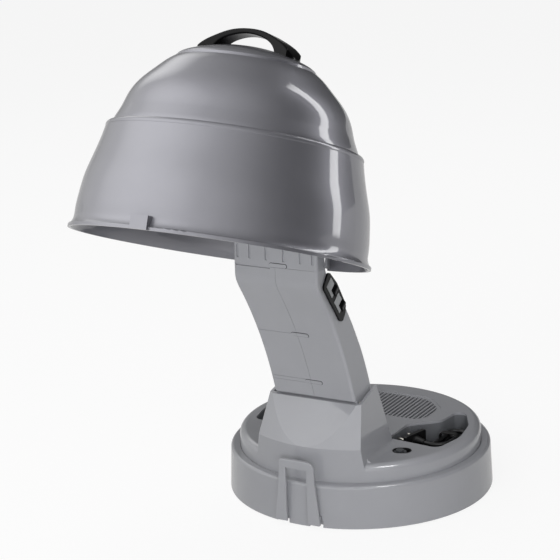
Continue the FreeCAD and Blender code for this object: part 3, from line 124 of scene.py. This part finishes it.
finishes = {
    # moulded ABS with fine metal flake under a clear coat: silvery, a soft wide glow and sharp highlights.
    # The real flake is about 0.1 mm; it is drawn 0.9 mm wide so that it shows
    "hood_silver": {"name": "flakeSilverABS", "colour": "8a8a91", "deep": "86868d",
                    "metallic": 0.70, "roughness": 0.42, "spread": 0.04, "coat": 1.0, "coatRough": 0.03,
                    "grain": 0.9, "bump": 0.010, "wave": 60.0},
    # glossy ABS in plain silver-grey from a polished mould: an even colour and thin highlights on its edges
    "base_grey": {"name": "glossGreyABS", "colour": "9e9fa4", "deep": "9b9ca1",
                  "roughness": 0.36, "spread": 0.05, "coat": 1.0, "coatRough": 0.04,
                  "grain": 0.8, "bump": 0.012, "wave": 45.0},
    # the arm's ABS comes from a finely textured mould, so it is a little duller than the base. It is the
    # same plastic as the base; its grey is set a few levels paler than the base's as painted light
    "arm_grey": {"name": "satinGreyABS", "colour": "a6a7ac", "deep": "a3a4a9",
                 "roughness": 0.42, "spread": 0.05, "coat": 0.5, "coatRough": 0.10,
                 "grain": 0.7, "bump": 0.015, "wave": 40.0},
    # the wells are moulded in the same grey as the base on an unpolished core, so they look dull; their
    # colour is set much darker than the base's as painted shade inside the hollows
    "well_grey": {"name": "wellShadeGreyABS", "colour": "6f7175", "deep": "66686c",
                  "roughness": 0.48, "grain": 0.7, "bump": 0.05, "wave": 30.0},
    # polished black ABS: nearly black with clear reflections
    "black_gloss": {"name": "pianoBlackABS", "colour": "0b0b0c", "deep": "080809",
                    "roughness": 0.16, "specular": 0.15, "spread": 0.05,
                    "grain": 1.2, "bump": 0.01, "wave": 30.0},
    # black polypropylene of inner mouldings: waxy, without clear reflections
    "black_matte": {"name": "plainBlackPP", "colour": "161617", "deep": "101011",
                    "roughness": 0.55, "spread": 0.08, "grain": 0.8, "bump": 0.08, "wave": 25.0},
    # soft black rubber of the feet and the cord's band: dull and slightly grainy
    "foot_rubber": {"name": "nitrileRubber", "colour": "121212", "deep": "0c0c0c",
                    "roughness": 0.75, "spread": 0.08, "bump": 0.15, "wave": 10.0},
    # bright zinc plate on steel screws and pins: a blurred metal shine
    "zinc_steel": {"name": "zincPlatedSteel", "colour": "b9bcbe", "deep": "a9acae", "metallic": 1.0,
                   "roughness": 0.32, "spread": 0.10, "grain": 0.5, "bump": 0.05, "wave": 8.0},
    # black nylon mesh behind the grille: dark and rough, uneven at the 1 mm of its threads' spacing
    "filter_mesh": {"name": "nylonFilterMesh", "colour": "1c1d1e", "deep": "0c0c0d",
                    "roughness": 0.7, "spread": 0.08, "grain": 1.0, "bump": 0.6, "wave": 10.0},
    # painted steel of the motor's can and the thermostat: grey with some of the metal's shine
    "motor_metal": {"name": "paintedSteelCan", "colour": "9a9b9c", "deep": "8a8b8c", "metallic": 0.6,
                    "roughness": 0.4, "spread": 0.10, "grain": 0.5, "bump": 0.05},
    # natural nylon of washers and terminals: slightly yellow and soft
    "pale_plastic": {"name": "naturalNylon", "colour": "dcd8cc", "deep": "d2cdc0",
                     "roughness": 0.45, "grain": 0.7, "bump": 0.04},
    # dark grey ABS of the release slide: even, with a slight shine
    "switch_grey": {"name": "darkGreyABS", "colour": "4a4c4f", "deep": "434548",
                    "roughness": 0.36, "coat": 0.1, "coatRough": 0.2, "bump": 0.04},
    # split mica sheet: pale brown with silvery layers
    "mica": {"name": "splitMica", "colour": "a4917a", "deep": "8f7c63",
             "roughness": 0.35, "spread": 0.15, "grain": 3.0, "bump": 0.15, "wave": 15.0},
    # resistance wire with a grey oxide skin
    "heater_wire": {"name": "oxidisedNichrome", "colour": "77716c", "deep": "69645f", "metallic": 1.0,
                    "roughness": 0.45, "spread": 0.10, "grain": 0.5, "bump": 0.05, "wave": 6.0},
    # light grey printed inlays beside the rockers: flat ink, hardly shiny
    "label_grey": {"name": "printedGreyInlay", "colour": "a6a8aa", "deep": "a0a2a4",
                   "roughness": 0.42, "spread": 0.04, "bump": 0.02},
    # extruded black PVC of the flex and the plug: dark with a soft shine along its length
    "cord_black": {"name": "extrudedPVC", "colour": "161617", "deep": "0f0f10",
                   "roughness": 0.38, "spread": 0.08, "grain": 0.9, "bump": 0.05, "wave": 14.0},
    # nickel plate on brass pins: bright and slightly warm
    "nickel_brass": {"name": "nickelPlatedBrass", "colour": "cfccc4", "deep": "c5c1b8", "metallic": 1.0,
                     "roughness": 0.16, "bump": 0.02, "wave": 8.0},
}

# The noise that every finish shares: its detail, the part of it that the tones span, and the bump's depth
moulding = {
    "driftDetail": 3.0,
    "driftRough": 0.5,
    "grainDetail": 2.0,
    "grainRough": 0.6,
    "deepAt": 0.3,
    "colourAt": 0.7,
    "bumpDepth": 0.0004,
    "coatIor": 1.6,
}


def makeFinish(spec):
    material = bpy.data.materials.new(spec["name"])
    material.use_nodes = True
    tree = material.node_tree
    tree.nodes.clear()
    place = addNode(tree, "ShaderNodeTexCoord")
    noises = {}
    for pattern, size in (("drift", spec["wave"]), ("grain", spec["grain"])):
        look = {"Scale": 1000.0 / size, "Detail": moulding[pattern + "Detail"],
                "Roughness": moulding[pattern + "Rough"]}
        noises[pattern] = addNode(tree, "ShaderNodeTexNoise", look, Vector=(place, "Object"))
    grain = noises["grain"]
    tone = addNode(tree, "ShaderNodeValToRGB", (), Fac=(noises["drift"], "Fac"))
    ends = ((moulding["deepAt"], spec["deep"]), (moulding["colourAt"], spec["colour"]))
    for end, (position, colour) in zip(tone.color_ramp.elements, ends):
        end.position = position
        end.color = linearColour(colour)
    middle, half = spec["roughness"], spec["spread"] / 2
    rough = addNode(tree, "ShaderNodeMapRange", {"To Min": middle - half, "To Max": middle + half},
                    Value=(grain, "Fac"))
    bump = addNode(tree, "ShaderNodeBump", {"Strength": spec["bump"], "Distance": moulding["bumpDepth"]},
                   Height=(grain, "Fac"))
    surface = {
        "Metallic": spec["metallic"],
        "IOR": 1.5,  # ABS, nylon, PVC; it is also the shader's default, which the metals keep
        "Specular IOR Level": spec["specular"],
        "Coat Weight": spec["coat"],
        "Coat Roughness": spec["coatRough"],
        "Coat IOR": moulding["coatIor"],
    }
    shader = addNode(tree, "ShaderNodeBsdfPrincipled", surface,
                     Base_Color=(tone, "Color"), Roughness=(rough, "Result"), Normal=(bump, "Normal"))
    addNode(tree, "ShaderNodeOutputMaterial", (), Surface=(shader, "BSDF"))
    return material


def dress(piece, material):
    piece.data.materials.clear()
    piece.data.materials.append(material)


materials = {slot: makeFinish(plainFinish | spec) for slot, spec in finishes.items()}
nodeSlots = {part["node"]: part["material_slot"] for part in frame["record"]["subparts"]}
for nodeName, nodeObject in nodes.items():
    dress(nodeObject, materials[nodeSlots[nodeName]])
print("finishes made,", len(materials))

# The stowed flex, in mm: a straight lead from the gland, loops stacked in the right well, a tail to the plug
flex = {
    "diameter": 6.0,
    "turns": 8,
    "pitch": 6.75,  # the height from one loop to the next
    "floorZ": 15.4,
    "middleX": 114.5,
    "halfWidth": 12.0,  # from the middle to the run on either side
    "waist": 3.0,  # how far the band draws each run inwards
    "frontY": 3.0,
    "backY": 46.0,
    "bendPoints": 4,
    "exit": (102.5, -36.0),
    "leadSteps": (0, 12, 26),
    "tail": ((126.5, -3.3), (120.0, -12.6), (109.3, -16.4), (101.5, -14.4), (98.05, -13.43)),
    "length": 1.347,  # in metres
    "bevelSteps": 5,
    "lineSteps": 5,
}


# One loop: up the left run, round the back bend, down the right run while it climbs by the pitch, round the
# front bend. A bend's points lie evenly on a half circle, pushed out so that the spline keeps its width
def loopPoints(spec, level, last):
    left, right = spec["middleX"] - spec["halfWidth"], spec["middleX"] + spec["halfWidth"]
    front, back = spec["frontY"], spec["backY"]
    middleY = (front + back) / 2
    count = spec["bendPoints"]
    reach = spec["halfWidth"] / math.cos(math.pi / (2 * count))
    turn = np.pi * (1 - (np.arange(count) + 0.5) / count)
    across, along = reach * np.cos(turn), reach * np.sin(turn)
    z = spec["floorZ"] + spec["pitch"] * level
    up = z + spec["pitch"]
    leftRun = np.array([(left, front, z), (left + spec["waist"], middleY, z), (left, back, z)])
    backBend = np.stack([spec["middleX"] + across, back + along, np.full(count, z)], 1)
    rightWaist = (right - spec["waist"], middleY, (z + up) / 2)
    rightRun = np.array([(right, back, z), rightWaist, (right, front, up)])
    frontBend = np.stack([spec["middleX"] - across, front - along, np.full(count, up)], 1)
    return np.concatenate([leftRun, backBend, rightRun] + ([] if last else [frontBend]))


# A round tube along one open spline. Its control points are the lead, the loops and the tail on top of them
def makeFlex(spec):
    x, y = spec["exit"]
    lead = np.array([(x, y + step, spec["floorZ"]) for step in spec["leadSteps"]])
    loops = [loopPoints(spec, level, level == spec["turns"] - 1) for level in range(spec["turns"])]
    topZ = spec["floorZ"] + spec["pitch"] * spec["turns"]
    tail = np.array([(tailX, tailY, topZ) for tailX, tailY in spec["tail"]])
    route = np.concatenate([lead] + loops + [tail]) / 1000
    curve = bpy.data.curves.new("stowedFlex", "CURVE")
    curve.dimensions = "3D"
    curve.bevel_depth = spec["diameter"] / 2000
    curve.bevel_resolution = spec["bevelSteps"]
    curve.resolution_u = spec["lineSteps"]
    curve.use_fill_caps = True
    spline = curve.splines.new("NURBS")
    spline.points.add(len(route) - 1)
    spline.points.foreach_set("co", np.concatenate([route, np.ones((len(route), 1))], 1).ravel())
    spline.order_u = 3
    spline.use_endpoint_u = True
    piece = bpy.data.objects.new("stowedFlex", curve)
    bpy.context.scene.collection.objects.link(piece)
    dress(piece, materials["cord_black"])
    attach(piece, "base")
    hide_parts("cord_lead", "cord_hank", "cord_tail")
    return piece


flexPiece = makeFlex(flex)
print("flex laid")


# Puts a grid of points (rows, columns, 3) into a mesh of quads. It closes round its columns, and round its
# rows if asked
def gridMesh(name, grid, closedRows):
    rows, columns = grid.shape[:2]
    i, j = np.meshgrid(np.arange(rows if closedRows else rows - 1), np.arange(columns), indexing="ij")
    nextI, nextJ = (i + 1) % rows, (j + 1) % columns
    thisRow, nextRow = i * columns, nextI * columns
    faces = np.stack([thisRow + j, thisRow + nextJ, nextRow + nextJ, nextRow + j], -1)
    mesh = bpy.data.meshes.new(name)
    mesh.from_pydata(grid.reshape(-1, 3).tolist(), [], faces.reshape(-1, 4).tolist())
    piece = bpy.data.objects.new(name, mesh)
    bpy.context.scene.collection.objects.link(piece)
    return piece


# A ring that is closed both ways, given in mm, which rides on a body and takes its finish from a slot
def ringPiece(name, rings, body, slot):
    piece = gridMesh(name, np.array(rings) / 1000, True)
    piece.data.shade_smooth()
    dress(piece, materials[slot])
    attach(piece, body)
    return piece


# A rounded rectangle in x and z round nought: each corner is a quarter circle whose centre lies at the half
# sides less the corner. out moves the whole line outwards
def roundedLine(halfX, halfZ, corner, out, turn):
    radius = corner + out
    x = (halfX - corner) * np.sign(np.cos(turn)) + radius * np.cos(turn)
    z = (halfZ - corner) * np.sign(np.sin(turn)) + radius * np.sin(turn)
    return x, z


ringTurn = np.linspace(0, 2 * np.pi, 64, endpoint=False)

# The rubber band round both runs of the hank at the waist, in mm: its outer faces, and how thick it is
hankTie = {"x": (101.9, 127.1), "z": (12.1, 72.9), "y": (20.0, 28.0), "corner": 5.0, "thick": 0.9}


# The band's rounded line in XZ, carried round a flat section: inner front and back, outer back and front
def makeTie(spec):
    middleX, middleZ = sum(spec["x"]) / 2, sum(spec["z"]) / 2
    halfX, halfZ = spec["x"][1] - middleX, spec["z"][1] - middleZ
    front, back = spec["y"]
    rings = []
    for out, y in ((-spec["thick"], front), (-spec["thick"], back), (0, back), (0, front)):
        x, z = roundedLine(halfX, halfZ, spec["corner"], out, ringTurn)
        rings.append(np.stack([middleX + x, np.full_like(x, y), middleZ + z], 1))
    return ringPiece("hankTie", rings, "base", "foot_rubber")


tiePiece = makeTie(hankTie)

# A black ring of painted shade round each raised clip on the arm, where the gap round the clip falls dark,
# in mm. A place is a point on the arm's skin, and how y runs with z there
clipShadeRings = {
    "halfWidth": 11.5,
    "halfHeight": 2.3,
    "corner": 2.2,
    "width": 0.55,
    "sunk": 0.30,
    "proud": 0.10,
    "places": {
        "clipShadeTop": ((4.0, -207.5, 343.3), 0.0),
        "clipShadeMiddle": ((4.0, -159.47, 244.5), -0.537),
        "clipShadeLow": ((4.0, -128.13, 174.4), -0.365),
    },
}


# The clip's rounded line, laid on the sloping skin and carried round a flat section, most of it sunk in: a
# black ring that paints the shade in the gap round the clip
def makeClipShade(name, spec):
    (middleX, middleY, middleZ), slope = spec["places"][name]
    normal = np.array([0.0, -1.0, slope]) / math.hypot(1.0, slope)
    width, sunk, proud = spec["width"], spec["sunk"], spec["proud"]
    rings = []
    for out, depth in ((0, -proud), (0, sunk), (width, sunk), (width, -proud)):
        x, z = roundedLine(spec["halfWidth"], spec["halfHeight"], spec["corner"], out, ringTurn)
        skin = np.stack([middleX + x, middleY + slope * z, middleZ + z], 1)
        rings.append(skin - depth * normal)
    return ringPiece(name, rings, "arm", "black_matte")


clipShadePieces = [makeClipShade(shadeName, clipShadeRings) for shadeName in clipShadeRings["places"]]
print("band and clip gaps made")

# What the surround and the floor show. toward is where the surround is palest. gloss and ambient are its
# strength at the two ends of facing, as glossy and as matte surfaces see it
studio = {
    "surround": 1.0,
    "toward": (-0.58, -0.78, 0.25),
    "facing": (-0.6, 0.95),
    "gloss": (0.05, 1.15),
    "ambient": (0.06, 0.42),
    "paper": "d2d2d2",
    "floorRings": (12.0, 4.0, 1.5, 0.5, 0.0001),
    "floorShare": 0.80,  # how much of the floor is its own glow, to the camera and in gloss
    "floorGlow": 1.1,
    "floorGloss": 0.65,
}

# Bodies with lamps of their own, because the hood's flaked ABS and the stand's plain ABS need unlike light
stand = ("base", "arm", "clasp", "release", "heat_rocker", "speed_rocker")
hoodAndFloor = ("hood", "floor")

# Softboxes that face a point between hood and base. edge is how crisp the border is, inGloss whether gloss
# shows the lamp, only is what it lights, and lean turns it about its own axis
lampCentre = (0.0, -0.17, 0.33)
lamps = {
    "leftBox": {"azimuth": -46, "elevation": 36, "distance": 2.3, "size": (4.2, 3.2), "edge": 2.0,
                "power": 36, "only": hoodAndFloor},
    "frontFill": {"azimuth": 8, "elevation": 20, "distance": 2.8, "size": (2.2, 1.8), "edge": 2.0,
                  "power": 74, "inGloss": False, "only": hoodAndFloor},
    "lowFill": {"azimuth": 27, "elevation": 6, "distance": 2.8, "size": (2.2, 1.6), "edge": 2.0,
                "power": 92, "inGloss": False, "only": stand},
    "leftFill": {"azimuth": -46, "elevation": 30, "distance": 2.3, "size": (3.0, 2.0), "edge": 2.0,
                 "power": 10, "only": stand},
    # gives the thin bright lines along the stand's rounded edges
    "edgeBox": {"azimuth": 62, "elevation": 46, "distance": 2.0, "size": (0.60, 0.45), "edge": 10.0,
                "power": 11, "only": stand},
    "topFill": {"azimuth": 0, "elevation": 80, "distance": 2.4, "size": (1.2, 1.2), "edge": 2.0,
                "power": 14, "inGloss": False},
    "backFill": {"azimuth": 180, "elevation": 40, "distance": 2.6, "size": (1.8, 1.8), "edge": 2.0,
                 "power": 14, "inGloss": False},
    # gives the bright streak down the hood
    "rightStrip": {"azimuth": 134, "elevation": 26, "distance": 1.5, "size": (0.30, 1.9), "edge": 12.0,
                   "power": 8, "lean": -28, "only": ("hood",)},
    "backLeftBox": {"azimuth": -125, "elevation": 32, "distance": 2.6, "size": (1.4, 1.6), "edge": 2.0,
                    "power": 8},
}
white = (1, 1, 1, 1)


# 1 for rays from the camera and for rays that went through something clear, 0 for the others
def seenPlainly(tree, path):
    return addNode(tree, "ShaderNodeMath", {"operation": "MAXIMUM"},
                   in0=(path, "Is Camera Ray"), in1=(path, "Is Transmission Ray"))


# White where it is seen plainly. Elsewhere its strength goes smoothly from the low to the high value with
# how far a direction turns towards the softboxes
def makeWorld(spec):
    world = bpy.data.worlds.new("studioWorld")
    bpy.context.scene.world = world
    world.use_nodes = True
    tree = world.node_tree
    tree.nodes.clear()
    path = addNode(tree, "ShaderNodeLightPath")
    place = addNode(tree, "ShaderNodeTexCoord")
    toward = Vector(spec["toward"]).normalized()
    facing = addNode(tree, "ShaderNodeVectorMath", {"operation": "DOT_PRODUCT", 1: toward},
                     in0=(place, "Generated"))
    sides = []
    for low, high in (spec["ambient"], spec["gloss"]):
        span = {"interpolation_type": "SMOOTHSTEP", "To Min": low, "To Max": high,
                "From Min": spec["facing"][0], "From Max": spec["facing"][1]}
        shade = addNode(tree, "ShaderNodeMapRange", span, Value=(facing, "Value"))
        sides.append(addNode(tree, "ShaderNodeBackground", {"Color": white}, Strength=(shade, "Result")))
    surround = addNode(tree, "ShaderNodeBackground", {"Color": white, "Strength": spec["surround"]})
    unseen = addNode(tree, "ShaderNodeMixShader", (), Fac=(path, "Is Glossy Ray"),
                     in1=(sides[0], "Background"), in2=(sides[1], "Background"))
    mix = addNode(tree, "ShaderNodeMixShader", (), Fac=(seenPlainly(tree, path), "Value"),
                  in1=(unseen, "Shader"), in2=(surround, "Background"))
    addNode(tree, "ShaderNodeOutputWorld", (), Surface=(mix, "Shader"))


# Matte paper that keeps a soft shadow, with a share of glow where it is seen plainly or in gloss
def makePaper(spec):
    material = bpy.data.materials.new("paperFloor")
    material.use_nodes = True
    tree = material.node_tree
    tree.nodes.clear()
    path = addNode(tree, "ShaderNodeLightPath")
    paper = addNode(tree, "ShaderNodeBsdfDiffuse", {"Color": linearColour(spec["paper"])})
    layer = (paper, "BSDF")
    for rays, strength in (((path, "Is Glossy Ray"), spec["floorGloss"]),
                           ((seenPlainly(tree, path), "Value"), spec["floorGlow"])):
        glow = addNode(tree, "ShaderNodeEmission", {"Color": white, "Strength": strength})
        share = addNode(tree, "ShaderNodeMath", {"operation": "MULTIPLY", 1: spec["floorShare"]}, in0=rays)
        mix = addNode(tree, "ShaderNodeMixShader", (), Fac=(share, "Value"),
                      in1=layer, in2=(glow, "Emission"))
        layer = (mix, "Shader")
    addNode(tree, "ShaderNodeOutputMaterial", (), Surface=layer)
    return material


# The floor is a wide disc: rings of points at falling radius round the origin
def makeFloor(spec):
    radius = np.array(spec["floorRings"])[:, None]
    level = np.zeros((len(radius), len(ringTurn)))
    grid = np.stack([radius * np.cos(ringTurn), radius * np.sin(ringTurn), level], -1)
    floor = gridMesh("studioFloor", grid, False)
    dress(floor, makePaper(spec))
    return floor


# A softbox fades to its border: strength = (1 - |2u - 1|^edge) (1 - |2v - 1|^edge), so a high edge is crisp
def feather(light, edge):
    light.use_nodes = True
    tree = light.node_tree
    tree.nodes.clear()
    place = addNode(tree, "ShaderNodeNewGeometry")
    parts = addNode(tree, "ShaderNodeSeparateXYZ", (), Vector=(place, "Parametric"))
    falls = []
    for side in ("X", "Y"):
        centred = addNode(tree, "ShaderNodeMath", {"operation": "MULTIPLY_ADD", 1: 2.0, 2: -1.0},
                          in0=(parts, side))
        distance = addNode(tree, "ShaderNodeMath", {"operation": "ABSOLUTE"}, in0=(centred, "Value"))
        power = addNode(tree, "ShaderNodeMath", {"operation": "POWER", 1: edge}, in0=(distance, "Value"))
        fall = addNode(tree, "ShaderNodeMath", {"operation": "SUBTRACT", 0: 1.0}, in1=(power, "Value"))
        falls.append(fall)
    strength = addNode(tree, "ShaderNodeMath", {"operation": "MULTIPLY"},
                       in0=(falls[0], "Value"), in1=(falls[1], "Value"))
    glow = addNode(tree, "ShaderNodeEmission", {"Color": white}, Strength=(strength, "Value"))
    addNode(tree, "ShaderNodeOutputLight", (), Surface=(glow, "Emission"))


def makeLamp(name, lamp, lit):
    way = wayTo(lamp["azimuth"], lamp["elevation"])
    data = bpy.data.lights.new(name, "AREA")
    data.shape = "RECTANGLE"
    data.size, data.size_y = lamp["size"]
    data.energy = lamp["power"]
    feather(data, lamp["edge"])
    light = bpy.data.objects.new(name, data)
    bpy.context.scene.collection.objects.link(light)
    light.visible_camera = False
    light.visible_glossy = lamp.get("inGloss", True)
    light.location = Vector(lampCentre) + way * lamp["distance"]
    light.rotation_mode = "QUATERNION"
    lean = Quaternion((0, 0, 1), math.radians(lamp.get("lean", 0)))
    light.rotation_quaternion = way.to_track_quat("Z", "Y") @ lean
    if "only" in lamp:
        receivers = bpy.data.collections.new(name + "Receivers")
        for body in lamp["only"]:
            for piece in lit[body]:
                receivers.objects.link(piece)
        light.light_linking.receiver_collection = receivers


makeWorld(studio)
studioFloor = makeFloor(studio)
bodyNodes = frame["record"]["behaviour"]["bodies"]
litPieces = {body: [nodes[part] for part in parts] for body, parts in bodyNodes.items()}
litPieces["base"] += [flexPiece, tiePiece]
litPieces["arm"] += clipShadePieces
litPieces["floor"] = [studioFloor]
for lampName, lampSpec in lamps.items():
    makeLamp(lampName, lampSpec, litPieces)
bpy.context.scene.view_settings.view_transform = "Standard"
print("studio lit,", len(lamps), "lamps")
